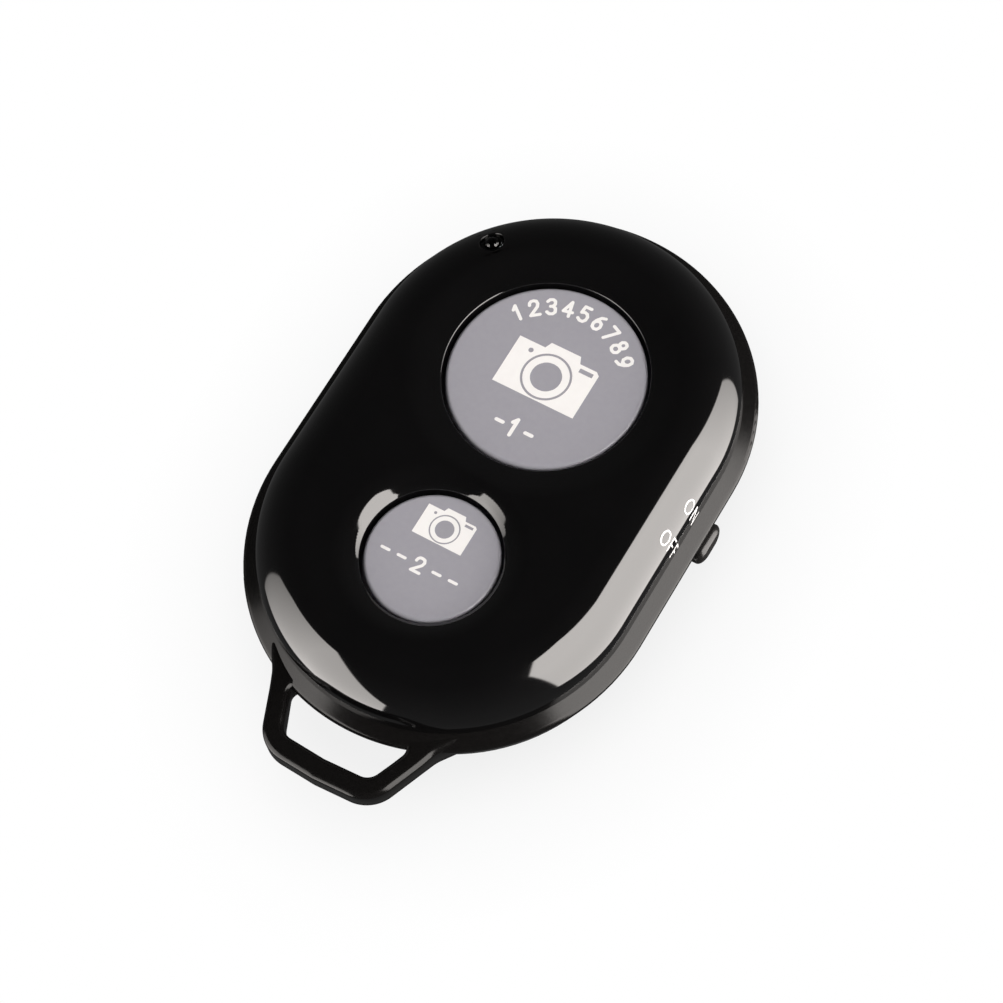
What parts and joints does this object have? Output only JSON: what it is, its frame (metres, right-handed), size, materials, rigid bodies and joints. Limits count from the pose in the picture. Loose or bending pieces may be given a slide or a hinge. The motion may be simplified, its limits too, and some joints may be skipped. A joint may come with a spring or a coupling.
{
  "type": "bluetooth camera shutter remote",
  "caption": "Small black camera shutter remote with a large and a small round grey button, a slide switch in the side and a lanyard loop on the end.",
  "frame": {"origin": "middle of the stadium body seen from above, on the flat back", "axes": "+Z out of the face with the buttons, +Y towards the status light, -Y towards the lanyard loop, +X towards the slide switch"},
  "size_m": [0.0325, 0.0504, 0.0105],
  "materials": {
    "gloss_black": "high gloss",
    "satin_black": "satin",
    "grey_cap": "fine satin",
    "clear_lens": "clear polished",
    "board_green": "lacquered",
    "moulding_black": "moulded",
    "sheet_metal": "plated sheet",
    "cell_metal": "fine brushed",
    "screw_metal": "plated",
    "copper_gold": "plated",
    "gasket_black": "matte",
    "lamp_white": "clear resin on white",
    "chip_tan": "ceramic"
  },
  "bodies": {
    "housing": {"top_shell": "gloss_black", "back_shell": "satin_black", "light_pipe": "clear_lens", "circuit_board": "board_green", "large_switch_base": "moulding_black", "large_switch_cover": "sheet_metal", "large_switch_dome": "sheet_metal", "small_switch_base": "moulding_black", "small_switch_cover": "sheet_metal", "small_switch_dome": "sheet_metal", "slide_switch_can": "sheet_metal", "slide_switch_base": "moulding_black", "status_lamp": "lamp_white", "radio_chip": "moulding_black", "memory_chip": "moulding_black", "crystal": "cell_metal", "chip_parts": "chip_tan", "aerial_trace": "copper_gold", "cell_clip": "copper_gold", "cell_contact": "copper_gold", "cell_can": "cell_metal", "cell_gasket": "gasket_black", "cell_cap": "cell_metal", "board_screws": "screw_metal"},
    "battery_door": {"battery_door": "satin_black"},
    "large_button": {"large_button_cap": "grey_cap", "large_switch_plunger": "moulding_black"},
    "small_button": {"small_button_cap": "grey_cap", "small_switch_plunger": "moulding_black"},
    "power_knob": {"power_knob": "satin_black", "slide_switch_stem": "moulding_black"}
  },
  "joints": [
    {"name": "large_button_press", "type": "slide", "parent": "housing", "child": "large_button", "axis": [0, 0, -1], "range_m": [0, 0.0003], "stiffness_N_per_m": 2000, "deforming": ["large_switch_dome"]},
    {"name": "small_button_press", "type": "slide", "parent": "housing", "child": "small_button", "axis": [0, 0, -1], "range_m": [0, 0.0003], "stiffness_N_per_m": 2000, "deforming": ["small_switch_dome"]},
    {"name": "power_slide", "type": "slide", "parent": "housing", "child": "power_knob", "axis": [0, -1, 0], "range_m": [0, 0.0015]},
    {"name": "battery_door_hinge", "type": "hinge", "parent": "housing", "child": "battery_door", "pos_m": [0, -0.0109, 0], "axis": [-1, 0, 0], "range_deg": [0, 40]}
  ]
}
